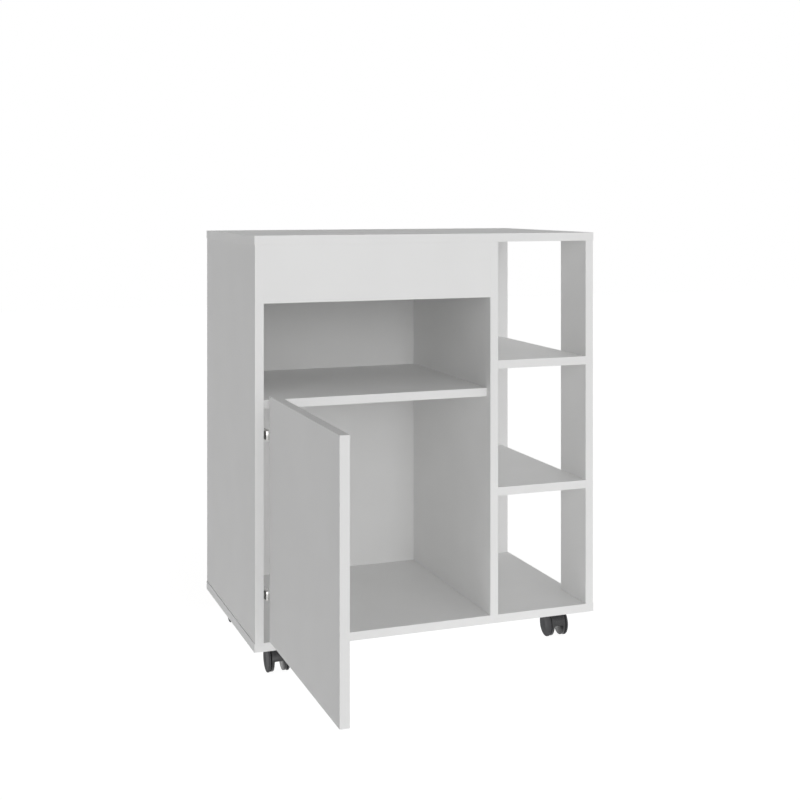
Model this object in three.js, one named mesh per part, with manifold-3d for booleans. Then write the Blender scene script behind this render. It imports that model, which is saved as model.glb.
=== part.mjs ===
// Microwave cart: a white panel cabinet with a door, an open niche and three open cells,
// on four twin-wheel swivel casters.
//
// All sizes are in millimetres. The cabinet is laid out with x from the left side panel's
// outer face to the right, y from the front edges to the back, and z up from the floor.
// The last lines shift the whole cart, so that its origin lies on the floor under the
// middle of its box. The door is drawn closed and then swung open on its hinges.

import * as THREE from 'three';
import { mergeVertices } from 'three/addons/utils/BufferGeometryUtils.js';
import Module from 'manifold-3d';

// ---------------------------------------------------------------- cabinet sizes
const BOARD = 15; // thickness of every coated board
const DEPTH = 405; // front edges to the back of the boards
const OVERHANG = 1; // top and bottom panels past the uprights, at each side
const LEFT_BAY = 412; // clear width of the niche and the cupboard
const RIGHT_BAY = 175; // clear width of the open cells
const UNDERSIDE = 49.6; // bottom panel's underside above the floor
const UPRIGHT_HEIGHT = 667; // uprights between the bottom and top panels
const POST_DEPTH = 104; // right front post, front to back
const APRON_HEIGHT = 99; // fixed front board over the niche
const NICHE_HEIGHT = 164; // middle shelf's top to the apron's lower edge
const SHELF_SETBACK = 17; // middle shelf behind the front, so that the door shuts over it
const CELLS = 3;
const BACK_THICKNESS = 3; // hardboard on the left bay's back
const BACK_INSET = 2; // hardboard's top and bottom edges inside the panels

// ---------------------------------------------------------------- door sizes
const DOOR_WIDTH = 408;
const DOOR_HEIGHT = 411;
const HINGE_SIDE_GAP = 2.5; // door edge to the left side panel, door shut
const DOOR_FLOOR_GAP = 2; // door's lower edge above the bottom panel
const HINGE_FROM_END = 70; // hinge centre to the door's lower or upper end
const DOOR_OPEN_ANGLE = 90; // the door stands open, square to the front
const BORE_PLAY = 0.3; // round the cup in the door

// ---------------------------------------------------------------- hinge sizes
// Places are in the cabinet's x and y with the door shut, and z from the hinge's middle.
const LINK_OPEN_ANGLE = 50; // turn of the link from shut to open
const ARM_PIVOT = [49.909, 10.973]; // link's pin in the arm
const CUP_PIVOT = [24, 10]; // link's pin in the cup
const LINK_BEND = [28.5, 5.4]; // hook of the link round the door's edge
const LINK_WIDTH = 7;
const LINK_THICKNESS = 1.5;
const LINK_EYE_RADIUS = { arm: 2.3, cup: 2 };
const PIN_RADIUS = { arm: 1.25, cup: 1 };
const PIN_PLAY = 0.1;
const CUP_RADIUS = 17.5;
const CUP_BORE = 17; // inside radius of the cup
const CUP_CENTRE = 37.7; // cup's middle along x
const CUP_DEPTH = 12; // cup floor's outer face below the door's inner face
const CUP_FLOOR = 0.8;
const CUP_PIN_REACH = 10; // pin's ends each side of the middle
const FLANGE_GAP = 0.3; // flange over the door's inner face
const FLANGE_THICKNESS = 1.2;
const FLANGE_RIM = 2; // flange past the cup all round
const WING = { from: 41, to: 53.5, halfHeight: 31, corner: 3.5 }; // upright wings with the screws
const LINK_NOTCH = { to: 26, halfHeight: 25 }; // flange cut away over the link
const ARM_WIDTH = 15;
const ARM_SHEET = 1.2;
const ARM_NOSE_RADIUS = 2.7; // clears the cup's bore, door shut
// The arm is a channel. Its crown lies away from the panel, and a lip closes its front.
const ARM_PANEL_EDGE = [[17.3, 76], [17.3, 38], [23.6, 28], [23.6, 17.8], [42, 17.8]];
const ARM_CROWN = [[52.6, 19], [50, 24], [34, 31], [29.5, 38], [29.5, 76]];
const ARM_HOLLOW_EDGE = [[16, 78], [16, 19], [42.2, 19], [42.2, 5]];
const ARM_HOLLOW_CROWN = [[51.4, 18.6], [49.2, 23], [33.2, 30], [28.3, 37.6], [28.3, 78]];
const ARM_MOUTH = { x: 54, fromY: 5, toY: 15.5 }; // open end of the nose, where the link turns
const ARM_SCREW_HOLE = 2.8;
const PLATE_BASE = 2; // mounting plate's thickness on the side panel
const PLATE_UPRIGHT = { y: [46, 62], halfHeight: 24 };
const PLATE_LEVEL = { y: [40, 74], halfHeight: 10 };
const PLATE_RAIL = { toX: 25, y: [42, 74], halfHeight: 5.9 }; // the arm slides over it
const ARM_SCREW = { shank: 2.5, head: 4.2, from: 24, headFrom: 29.8, to: 31.8, slot: [6, 1, 0.8] };

// ---------------------------------------------------------------- hinge screws
const SCREW_HEAD_LIFT = 0.2; // head's underside over what it holds
const SCREW_HEAD_TOP = 2;
const SCREW_RECESS = { length: 4.4, width: 0.8, floor: 1.2 };
const PLATE_SCREW = { head: 3.9, shank: 1.9, length: 13, hole: 11, y: 54, z: 16 };
const CUP_SCREW = { head: 3.5, shank: 1.7, length: 11, hole: 10.5, x: 47.2, z: 24, lift: 0.1 };

// ---------------------------------------------------------------- caster sizes
const WHEEL_RADIUS = 23.1;
const WHEEL_SPACING = 30.4; // between the inner faces of a caster's two rims
const RIM_WIDTH = 2.4; // running face of a wheel
const WHEEL_FACE = 3.4; // wheel's outer side from its inner face
const WHEEL_SHOULDER = 20.3; // radius where the outer side starts to fall away to the rim
const HUB = { radius: 6, reach: 1.5, bore: 3.1, boreDepth: 1.8 }; // hub on the inner face
const AXLE_RADIUS = 3;
const AXLE_LENGTH = 33.4;
const TRAIL = 10.2; // axle in front of the swivel axis
const BODY_RADIUS = 22.4; // moulded body between the wheels, about the axle
const BODY_WIDTH = 26.8;
const TUNNEL = { width: 17.7, top: 22.8, corner: 1.7 }; // way through under the body
const AXLE_BOSS_RADIUS = 6.2; // rib of the body round the axle, in the way through
const NECK = { radius: 7.5, foot: 33, top: 47.4 }; // collar round the king pin
const KING_PIN = { radius: 4, foot: 31, socketFoot: 30.5 };
const CASTER_X = [48.15, 573.4];
const CASTER_Y = [54.2, 351.2]; // swivel axes of the front and rear pairs
const CASTER_PLATE = 38;
const CASTER_PLATE_THICKNESS = 1.6;
const CASTER_SCREW = { head: 3.2, height: 0.8, fromEdge: 4.5 };

// ---------------------------------------------------------------- carcass fastener sizes
const FIT = 0.2; // play round a fastener in its hole
const FASTENER_Y = [60, 345]; // front and rear fasteners of an upright
const CAM_RADIUS = 7.4;
const CAM_LENGTH = 12.2;
const CAM_FROM_END = 24; // cam's middle below the top panel
const CAM_SLOT = { length: 10, width: 1.2, depth: 1.2 };
const BOLT_RADIUS = 2.5;
const BOLT_HEAD = { radius: 3.1, length: 3, room: 0.5 };
const BOLT_IN_PANEL = 9;
const BOTTOM_SCREW = { // steps of the screw: radius, start and end above its head's underside
  head: [5, 0, 4],
  neck: [3.5, 3, 14.8],
  thread: [2.5, 14, 50],
};

// ---------------------------------------------------------------- fineness
const SIDES = { screw: 12, hole: 16, pin: 20, cup: 32, wheel: 32, body: 48 };
const PAST = 1; // a cutter runs this far past the face that it opens
const SUNK = 0.5; // overlap of two solids that are joined

// ---------------------------------------------------------------- places worked out from them
const leftInner = BOARD;
const dividerLeft = leftInner + LEFT_BAY;
const dividerRight = dividerLeft + BOARD;
const postLeft = dividerRight + RIGHT_BAY;
const postRight = postLeft + BOARD;
const bottomTop = UNDERSIDE + BOARD;
const topUnder = bottomTop + UPRIGHT_HEIGHT;
const topFace = topUnder + BOARD;
const apronLower = topUnder - APRON_HEIGHT;
const middleShelfTop = apronLower - NICHE_HEIGHT;
const columnBoardFront = DEPTH - BOARD;
const cellHeight = (UPRIGHT_HEIGHT - (CELLS - 1) * BOARD) / CELLS;
const doorEdge = leftInner + HINGE_SIDE_GAP;
const doorLower = bottomTop + DOOR_FLOOR_GAP;
const doorUpper = doorLower + DOOR_HEIGHT;
const hingeHeights = { lower: doorLower + HINGE_FROM_END, upper: doorUpper - HINGE_FROM_END };
const cupFloorY = BOARD - CUP_DEPTH;
const flangeY = [BOARD + FLANGE_GAP, BOARD + FLANGE_GAP + FLANGE_THICKNESS];
const camZ = topUnder - CAM_FROM_END;
const screwHeadUnder = UNDERSIDE + 2 * FIT;

// ---------------------------------------------------------------- finishes
const finish = (color, roughness, metalness) => (
  new THREE.MeshStandardMaterial({ color, roughness, metalness })
);
const whiteBoard = finish(0xf0f0ee, 0.45, 0);
const hardboard = finish(0xe6e4e0, 0.7, 0);
const nickel = finish(0xc9cbcd, 0.25, 1);
const zinc = finish(0xb4b6b8, 0.4, 1);
const blackPlastic = finish(0x2b2b2d, 0.5, 0);
const wheelPlastic = finish(0x333335, 0.55, 0);
const blackSteel = finish(0x202122, 0.5, 0.6);

// ---------------------------------------------------------------- solids
const wasm = await Module();
wasm.setup();

/** Turns a closed geometry into a solid that can be joined and cut. */
function solidOf(geometry) {
  const bare = geometry.clone();
  bare.deleteAttribute('normal');
  bare.deleteAttribute('uv');
  const merged = mergeVertices(bare, 1e-4);
  return new wasm.Manifold(new wasm.Mesh({
    numProp: 3,
    vertProperties: new Float32Array(merged.attributes.position.array),
    triVerts: new Uint32Array(merged.index.array),
  }));
}

/** Turns a solid back into a geometry. */
function geometryOf(solid) {
  const { vertProperties, triVerts } = solid.getMesh();
  const geometry = new THREE.BufferGeometry();
  geometry.setAttribute('position', new THREE.BufferAttribute(vertProperties, 3));
  geometry.setIndex(new THREE.BufferAttribute(triVerts, 1));
  geometry.computeVertexNormals();
  return geometry;
}

const about = (middle, half) => [middle - half, middle + half];

/** A box between two values on each axis. */
function block([x0, x1], [y0, y1], [z0, z1]) {
  const geometry = new THREE.BoxGeometry(x1 - x0, y1 - y0, z1 - z0);
  geometry.translate((x0 + x1) / 2, (y0 + y1) / 2, (z0 + z1) / 2);
  return solidOf(geometry);
}

/** A round bar along one axis, from start to end, through the point (a, b) on the other two. */
function rod(axis, radius, start, end, a, b, sides) {
  const middle = (start + end) / 2;
  const geometry = new THREE.CylinderGeometry(radius, radius, end - start, sides);
  if (axis === 'x') {
    geometry.rotateZ(-Math.PI / 2);
    geometry.translate(middle, a, b);
  } else if (axis === 'y') {
    geometry.translate(a, middle, b);
  } else {
    geometry.rotateX(Math.PI / 2);
    geometry.translate(a, b, middle);
  }
  return solidOf(geometry);
}

/** A flat outline in x and y, given thickness along z. */
function slab(outline, z0, z1) {
  const shape = new THREE.Shape(outline.map(([x, y]) => new THREE.Vector2(x, y)));
  const geometry = new THREE.ExtrudeGeometry(shape, { depth: z1 - z0, bevelEnabled: false });
  geometry.translate(0, 0, z0);
  return solidOf(geometry);
}

/** A flat outline in x and z, given thickness along y. */
function slabBack(outline, y0, y1) {
  const shape = new THREE.Shape(outline.map(([x, z]) => new THREE.Vector2(x, -z)));
  const geometry = new THREE.ExtrudeGeometry(shape, { depth: y1 - y0, bevelEnabled: false });
  geometry.rotateX(-Math.PI / 2);
  geometry.translate(0, y0, 0);
  return solidOf(geometry);
}

/** Points on an arc, from one angle to another in degrees. */
function arc([cx, cy], radius, from, to, steps) {
  return Array.from({ length: steps + 1 }, (_, i) => {
    const angle = THREE.MathUtils.degToRad(from + ((to - from) * i) / steps);
    return [cx + radius * Math.cos(angle), cy + radius * Math.sin(angle)];
  });
}

/** The outline of a strip of even thickness between two points. */
function strip([x0, y0], [x1, y1], thickness) {
  const length = Math.hypot(x1 - x0, y1 - y0);
  const dx = (-(y1 - y0) / length) * (thickness / 2);
  const dy = ((x1 - x0) / length) * (thickness / 2);
  return [[x0 + dx, y0 + dy], [x0 - dx, y0 - dy], [x1 - dx, y1 - dy], [x1 + dx, y1 + dy]];
}

const joined = (first, ...others) => others.reduce((whole, piece) => whole.add(piece), first);
const cut = (solid, ...holes) => holes.reduce((rest, hole) => rest.subtract(hole), solid);

/** A named piece, hung on its group at a point; its solid is drawn about that point. */
function piece(parent, name, solid, material, [x, y, z] = [0, 0, 0]) {
  const mesh = new THREE.Mesh(geometryOf(solid), material);
  mesh.name = name;
  mesh.position.set(x, y, z);
  parent.add(mesh);
}

function groupAt(parent, x, y, z, turnDegrees = 0) {
  const group = new THREE.Group();
  group.position.set(x, y, z);
  group.rotation.z = THREE.MathUtils.degToRad(turnDegrees);
  parent.add(group);
  return group;
}

// ---------------------------------------------------------------- fasteners of the carcass
/** Cam lock in an upright's right face, its axis along x and its middle at the origin. */
function camLock() {
  const slotHalf = [CAM_SLOT.length / 2, CAM_SLOT.width / 2];
  const headRoom = -(BOLT_HEAD.length + BOLT_HEAD.room);
  return cut(
    rod('x', CAM_RADIUS, -CAM_LENGTH, 0, 0, 0, SIDES.pin),
    rod('z', BOLT_HEAD.radius + FIT, headRoom, CAM_RADIUS + PAST, -BOARD / 2, 0, SIDES.screw),
    block([-CAM_SLOT.depth, PAST], about(0, slotHalf[0]), about(0, slotHalf[1])),
  );
}

/** Bolt that the cam pulls down: its head at the origin, its thread up in the top panel. */
function camBolt() {
  return joined(
    rod('z', BOLT_HEAD.radius, -BOLT_HEAD.length, 0, 0, 0, SIDES.screw),
    rod('z', BOLT_RADIUS, -SUNK, CAM_FROM_END + BOLT_IN_PANEL, 0, 0, SIDES.screw),
  );
}

/** Screw up through the bottom panel into an upright's end, drawn up from its head. */
function bottomScrew(play = 0) {
  const steps = Object.values(BOTTOM_SCREW).map(([radius, from, to]) => (
    rod('z', radius + play, from - play, to + play, 0, 0, SIDES.screw)
  ));
  return joined(...steps);
}

const uprights = [
  { side: 'left', face: leftInner },
  { side: 'divider', face: dividerRight },
];
const fastenerPlaces = uprights.flatMap(({ side, face }) => (
  FASTENER_Y.map((y, i) => ({ side, face, y, middle: face - BOARD / 2, end: ['front', 'rear'][i] }))
));

/** Holes that the carcass fasteners need, in the cabinet's own measures. */
function fastenerHoles() {
  const boltTop = topUnder + BOLT_IN_PANEL + FIT;
  const mouth = BOTTOM_SCREW.head[0] + FIT;
  return fastenerPlaces.flatMap(({ face, middle, y }) => [
    rod('x', CAM_RADIUS + FIT, face - CAM_LENGTH - FIT, face + PAST, y, camZ, SIDES.pin),
    rod('z', BOLT_RADIUS + FIT, camZ, boltTop, middle, y, SIDES.screw),
    bottomScrew(FIT).translate([middle, y, screwHeadUnder]),
    rod('z', mouth, UNDERSIDE - PAST, UNDERSIDE + PAST, middle, y, SIDES.screw),
  ]);
}

// ---------------------------------------------------------------- boards
function buildCarcass(cart) {
  const holes = fastenerHoles();
  const plateScrewHoles = Object.values(hingeHeights).flatMap((z) => (
    about(z, PLATE_SCREW.z).map((screwZ) => (
      rod('x', PLATE_SCREW.shank + FIT, BOARD - PLATE_SCREW.hole - FIT, BOARD + PAST,
        PLATE_SCREW.y, screwZ, SIDES.screw)
    ))
  ));
  const panelX = [-OVERHANG, postRight + OVERHANG];
  const uprightZ = [bottomTop, topUnder];
  const fullDepth = [0, DEPTH];
  const rightBayX = [dividerRight, postLeft];
  const boards = [
    ['bottom_panel', panelX, fullDepth, [UNDERSIDE, bottomTop], holes],
    ['top_panel', panelX, fullDepth, [topUnder, topFace], holes],
    ['left_side_panel', [0, leftInner], fullDepth, uprightZ, [...holes, ...plateScrewHoles]],
    ['divider_panel', [dividerLeft, dividerRight], fullDepth, uprightZ, holes],
    ['right_front_post', [postLeft, postRight], [0, POST_DEPTH], uprightZ, []],
    ['rear_column_board', [dividerRight, postRight], [columnBoardFront, DEPTH], uprightZ, []],
    ['front_apron', [leftInner, dividerLeft], [0, BOARD], [apronLower, topUnder], []],
    ['middle_shelf', [leftInner, dividerLeft], [SHELF_SETBACK, DEPTH],
      [middleShelfTop - BOARD, middleShelfTop], []],
    ['upper_side_shelf', rightBayX, [0, columnBoardFront],
      [topUnder - cellHeight - BOARD, topUnder - cellHeight], []],
    ['lower_side_shelf', rightBayX, [0, columnBoardFront],
      [bottomTop + cellHeight, bottomTop + cellHeight + BOARD], []],
  ];
  boards.forEach(([name, x, y, z, cuts]) => {
    const centre = [x, y, z].map(([low, high]) => (low + high) / 2);
    const toCentre = centre.map((value) => -value);
    piece(cart, name, cut(block(x, y, z), ...cuts).translate(toCentre), whiteBoard, centre);
  });

  const back = block(
    [OVERHANG, dividerRight - OVERHANG],
    [DEPTH, DEPTH + BACK_THICKNESS],
    [UNDERSIDE + BACK_INSET, topFace - BACK_INSET],
  );
  piece(cart, 'back_panel', back, hardboard);

  fastenerPlaces.forEach(({ side, face, middle, y, end }) => {
    piece(cart, `cam_lock_${side}_${end}`, camLock(), zinc, [face, y, camZ]);
    piece(cart, `cam_bolt_${side}_${end}`, camBolt(), zinc, [middle, y, camZ]);
    piece(cart, `bottom_screw_${side}_${end}`, bottomScrew(), zinc, [middle, y, screwHeadUnder]);
  });
}

// ---------------------------------------------------------------- hinges
/** Cranked channel from the mounting plate to the link's pin. */
function hingeArm() {
  const half = ARM_WIDTH / 2;
  const inside = half - ARM_SHEET;
  const outline = [...ARM_PANEL_EDGE, ...arc(ARM_PIVOT, ARM_NOSE_RADIUS, 180, 360, 6), ...ARM_CROWN];
  const mouth = [
    [ARM_MOUTH.x, ARM_MOUTH.fromY],
    [ARM_MOUTH.x, ARM_MOUTH.toY],
    [ARM_HOLLOW_CROWN[0][0], ARM_MOUTH.toY],
  ];
  const crownX = ARM_CROWN.at(-1)[0];
  return joined(
    cut(
      slab(outline, -half, half),
      slab([...ARM_HOLLOW_EDGE, ...mouth, ...ARM_HOLLOW_CROWN], -inside, inside),
      rod('x', ARM_SCREW_HOLE, crownX - 2 * ARM_SHEET, crownX + PAST, PLATE_SCREW.y, 0, SIDES.hole),
    ),
    rod('z', PIN_RADIUS.arm, -half, half, ...ARM_PIVOT, SIDES.pin),
  );
}

/** Mounting plate on the side panel, with the rail that the arm slides over and its screw. */
function hingePlate() {
  const x = leftInner;
  const baseX = [x, x + PLATE_BASE];
  const [slotLength, slotWidth, slotDepth] = ARM_SCREW.slot;
  const screwHoles = about(0, PLATE_SCREW.z).map((z) => (
    rod('x', PLATE_SCREW.shank + FIT, x - PAST, baseX[1] + PAST, PLATE_SCREW.y, z, SIDES.screw)
  ));
  return cut(
    joined(
      block(baseX, PLATE_UPRIGHT.y, about(0, PLATE_UPRIGHT.halfHeight)),
      block(baseX, PLATE_LEVEL.y, about(0, PLATE_LEVEL.halfHeight)),
      block([x, PLATE_RAIL.toX], PLATE_RAIL.y, about(0, PLATE_RAIL.halfHeight)),
      rod('x', ARM_SCREW.shank, ARM_SCREW.from, ARM_SCREW.to, PLATE_SCREW.y, 0, SIDES.hole),
      rod('x', ARM_SCREW.head, ARM_SCREW.headFrom, ARM_SCREW.to, PLATE_SCREW.y, 0, SIDES.hole),
    ),
    ...screwHoles,
    block(
      [ARM_SCREW.to - slotDepth, ARM_SCREW.to + PAST],
      about(PLATE_SCREW.y, slotLength / 2),
      about(0, slotWidth / 2),
    ),
  );
}

/** Wood screw along +x, with a cross recess; its seat is at the origin. */
function woodScrew({ head, shank, length }) {
  const recessX = [SCREW_RECESS.floor, SCREW_HEAD_TOP + PAST];
  const long = about(0, SCREW_RECESS.length / 2);
  const narrow = about(0, SCREW_RECESS.width / 2);
  return cut(
    joined(
      rod('x', head, SCREW_HEAD_LIFT, SCREW_HEAD_TOP, 0, 0, SIDES.screw),
      rod('x', shank, -length, SCREW_HEAD_LIFT + SUNK, 0, 0, SIDES.screw),
    ),
    block(recessX, long, narrow),
    block(recessX, narrow, long),
  );
}

/** Bent strap between the arm's pin and the cup's pin, drawn about the arm's pin. */
function hingeLink() {
  const half = LINK_WIDTH / 2;
  const [bend, eye] = [LINK_BEND, CUP_PIVOT].map(([x, y]) => [x - ARM_PIVOT[0], y - ARM_PIVOT[1]]);
  const pinHole = (radius, x, y) => (
    rod('z', radius + PIN_PLAY, -half - PAST, half + PAST, x, y, SIDES.pin)
  );
  return cut(
    joined(
      rod('z', LINK_EYE_RADIUS.arm, -half, half, 0, 0, SIDES.pin),
      slab(strip([0, 0], bend, LINK_THICKNESS), -half, half),
      rod('z', LINK_THICKNESS / 2, -half, half, ...bend, SIDES.screw),
      slab(strip(bend, eye, LINK_THICKNESS), -half, half),
      rod('z', LINK_EYE_RADIUS.cup, -half, half, ...eye, SIDES.pin),
    ),
    pinHole(PIN_RADIUS.arm, 0, 0),
    pinHole(PIN_RADIUS.cup, ...eye),
  );
}

/** Cup let into the door, with its flange and the link's pin across it. */
function hingeCup() {
  const { from, to, halfHeight, corner } = WING;
  const cornerZ = halfHeight - corner;
  const wings = [
    ...arc([to - corner, cornerZ], corner, 0, 90, 4),
    ...arc([from + corner, cornerZ], corner, 90, 180, 4),
    ...arc([from + corner, -cornerZ], corner, 180, 270, 4),
    ...arc([to - corner, -cornerZ], corner, 270, 360, 4),
  ];
  const [flangeLow, flangeHigh] = flangeY;
  const screwHoles = about(0, CUP_SCREW.z).map((z) => (
    rod('y', CUP_SCREW.shank + FIT, flangeLow - PAST, flangeHigh + PAST, CUP_SCREW.x, z,
      SIDES.screw)
  ));
  const shell = cut(
    joined(
      rod('y', CUP_RADIUS, cupFloorY, flangeHigh, CUP_CENTRE, 0, SIDES.cup),
      rod('y', CUP_RADIUS + FLANGE_RIM, flangeLow, flangeHigh, CUP_CENTRE, 0, SIDES.cup),
      slabBack(wings, flangeLow, flangeHigh),
    ),
    rod('y', CUP_BORE, cupFloorY + CUP_FLOOR, flangeHigh + PAST, CUP_CENTRE, 0, SIDES.cup),
    block([doorEdge, LINK_NOTCH.to], [flangeLow, flangeHigh + PAST], about(0, LINK_NOTCH.halfHeight)),
    ...screwHoles,
  );
  const pin = rod('z', PIN_RADIUS.cup, -CUP_PIN_REACH, CUP_PIN_REACH, ...CUP_PIVOT, SIDES.pin);
  return joined(shell, pin);
}

/** Point about which the door seems to turn between shut and open. */
function doorPole() {
  const swing = THREE.MathUtils.degToRad(LINK_OPEN_ANGLE);
  const [dx, dy] = [CUP_PIVOT[0] - ARM_PIVOT[0], CUP_PIVOT[1] - ARM_PIVOT[1]];
  const openX = ARM_PIVOT[0] + dx * Math.cos(swing) - dy * Math.sin(swing);
  const openY = ARM_PIVOT[1] + dx * Math.sin(swing) + dy * Math.cos(swing);
  const midX = (CUP_PIVOT[0] + openX) / 2;
  const midY = (CUP_PIVOT[1] + openY) / 2;
  return [midX + (openY - CUP_PIVOT[1]) / 2, midY - (openX - CUP_PIVOT[0]) / 2];
}

function buildDoor(cart) {
  const [poleX, poleY] = doorPole();
  const swung = groupAt(cart, poleX, poleY, 0, -DOOR_OPEN_ANGLE);
  const door = groupAt(swung, -poleX, -poleY, 0);
  const heights = Object.entries(hingeHeights);
  const bores = heights.flatMap(([, z]) => [
    rod('y', CUP_RADIUS + BORE_PLAY, cupFloorY - BORE_PLAY, BOARD + PAST, CUP_CENTRE, z, SIDES.cup),
    ...about(z, CUP_SCREW.z).map((screwZ) => (
      rod('y', CUP_SCREW.shank + FIT, BOARD - CUP_SCREW.hole, BOARD + PAST, CUP_SCREW.x, screwZ,
        SIDES.screw)
    )),
  ]);
  const slabOfDoor = block([doorEdge, doorEdge + DOOR_WIDTH], [0, BOARD], [doorLower, doorUpper]);
  piece(door, 'door_panel', cut(slabOfDoor, ...bores), whiteBoard);

  heights.forEach(([place, z]) => {
    piece(door, `${place}_hinge_cup`, hingeCup(), nickel, [0, 0, z]);
    [['top', CUP_SCREW.z], ['bottom', -CUP_SCREW.z]].forEach(([end, dz]) => {
      const holder = groupAt(door, CUP_SCREW.x, flangeY[1] + CUP_SCREW.lift, z + dz, 90);
      piece(holder, `${place}_hinge_cup_screw_${end}`, woodScrew(CUP_SCREW), zinc);
    });
  });
}

function buildHinges(cart) {
  Object.entries(hingeHeights).forEach(([place, z]) => {
    piece(cart, `${place}_hinge_plate`, hingePlate(), nickel, [0, 0, z]);
    piece(cart, `${place}_hinge_arm`, hingeArm(), nickel, [0, 0, z]);
    [['top', PLATE_SCREW.z], ['bottom', -PLATE_SCREW.z]].forEach(([end, dz]) => {
      const seat = [leftInner + PLATE_BASE, PLATE_SCREW.y, z + dz];
      piece(cart, `${place}_hinge_plate_screw_${end}`, woodScrew(PLATE_SCREW), zinc, seat);
    });
    const turned = groupAt(cart, ...ARM_PIVOT, z, LINK_OPEN_ANGLE);
    piece(turned, `${place}_hinge_link`, hingeLink(), nickel);
  });
}

// ---------------------------------------------------------------- casters
// Each caster is drawn about its swivel axis, with z from the floor, rolling along y.

/** Plate under the cabinet with its four screw heads and the pin that the body turns on. */
function casterPlate() {
  const half = CASTER_PLATE / 2;
  const under = UNDERSIDE - CASTER_PLATE_THICKNESS;
  const at = half - CASTER_SCREW.fromEdge;
  const heads = [[at, at], [at, -at], [-at, at], [-at, -at]].map(([x, y]) => (
    rod('z', CASTER_SCREW.head, under - CASTER_SCREW.height, under + SUNK, x, y, SIDES.screw)
  ));
  return joined(
    block(about(0, half), about(0, half), [under, UNDERSIDE]),
    rod('z', KING_PIN.radius, KING_PIN.foot, under + SUNK, 0, 0, SIDES.pin),
    ...heads,
  );
}

/** Moulded body: a drum about the axle with a way through below, and a collar on top. */
function casterHood() {
  const half = BODY_WIDTH / 2;
  const side = TUNNEL.width / 2;
  const axleAt = [-TRAIL, WHEEL_RADIUS];
  const cornerAt = [side - TUNNEL.corner, TUNNEL.top - TUNNEL.corner];
  const tunnel = [
    [side, -PAST],
    ...arc(cornerAt, TUNNEL.corner, 0, 90, 4),
    ...arc([-cornerAt[0], cornerAt[1]], TUNNEL.corner, 90, 180, 4),
    [-side, -PAST],
  ];
  const reach = BODY_RADIUS + PAST;
  const drum = cut(
    rod('x', BODY_RADIUS, -half, half, ...axleAt, SIDES.body),
    slabBack(tunnel, -TRAIL - reach, -TRAIL + reach),
  );
  return cut(
    joined(
      drum,
      rod('x', AXLE_BOSS_RADIUS, -side - SUNK, side + SUNK, ...axleAt, SIDES.pin),
      rod('z', NECK.radius, NECK.foot, NECK.top, 0, 0, SIDES.pin),
    ),
    rod('z', KING_PIN.radius + PIN_PLAY, KING_PIN.socketFoot, NECK.top + PAST, 0, 0, SIDES.pin),
    rod('x', AXLE_RADIUS + PIN_PLAY, -half - PAST, half + PAST, ...axleAt, SIDES.pin),
  );
}

/** Wheel with a hub and a blind bore, drawn along +x from its rim's inner face. */
function casterWheel() {
  const profile = [
    [0, HUB.boreDepth],
    [HUB.bore, HUB.boreDepth],
    [HUB.bore, -HUB.reach],
    [HUB.radius, -HUB.reach],
    [HUB.radius, 0],
    [WHEEL_RADIUS, 0],
    [WHEEL_RADIUS, RIM_WIDTH],
    [WHEEL_SHOULDER, WHEEL_FACE],
    [0, WHEEL_FACE],
  ];
  // The flats of the many-sided wheel lie at the radius, and one of them faces the floor.
  const stretch = 1 / Math.cos(Math.PI / SIDES.wheel);
  const points = profile.map(([r, along]) => new THREE.Vector2(r * stretch, along));
  const geometry = new THREE.LatheGeometry(points, SIDES.wheel, Math.PI / SIDES.wheel);
  geometry.rotateZ(-Math.PI / 2);
  return solidOf(geometry);
}

function buildCasters(cart) {
  ['front', 'rear'].forEach((end, row) => {
    ['left', 'right'].forEach((side, column) => {
      const name = `${end}_${side}_caster`;
      const caster = groupAt(cart, CASTER_X[column], CASTER_Y[row], 0);
      const axleAt = [0, -TRAIL, WHEEL_RADIUS];
      const axle = rod('x', AXLE_RADIUS, -AXLE_LENGTH / 2, AXLE_LENGTH / 2, 0, 0, SIDES.pin);
      piece(caster, `${name}_plate`, casterPlate(), blackSteel);
      piece(caster, `${name}_hood`, casterHood(), blackPlastic);
      piece(caster, `${name}_axle`, axle, zinc, axleAt);
      [['right', 0], ['left', 180]].forEach(([hand, turn]) => {
        const reach = (WHEEL_SPACING / 2) * (hand === 'right' ? 1 : -1);
        const hub = groupAt(caster, reach, -TRAIL, WHEEL_RADIUS, turn);
        piece(hub, `${name}_wheel_${hand}`, casterWheel(), wheelPlastic);
      });
    });
  });
}

// ---------------------------------------------------------------- the cart
const cart = new THREE.Group();
buildCarcass(cart);
buildHinges(cart);
buildDoor(cart);
buildCasters(cart);

const doorReach = doorEdge + DOOR_WIDTH - doorPole()[0] - doorPole()[1];
cart.position.set(-postRight / 2, (doorReach - DEPTH - BACK_THICKNESS) / 2, 0);

export default cart;
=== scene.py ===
"""Microwave cart: the finished look of a white panel cart on twin-wheel casters.

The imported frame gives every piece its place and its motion. The operators below build the
boards, the door, the hinges, the fasteners and the casters around it, in metres, and the
last one builds a plain white studio.
"""

import math

import bmesh
import bpy
from bpy.props import FloatProperty, FloatVectorProperty, PointerProperty
from mathutils import Matrix, Vector


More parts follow.
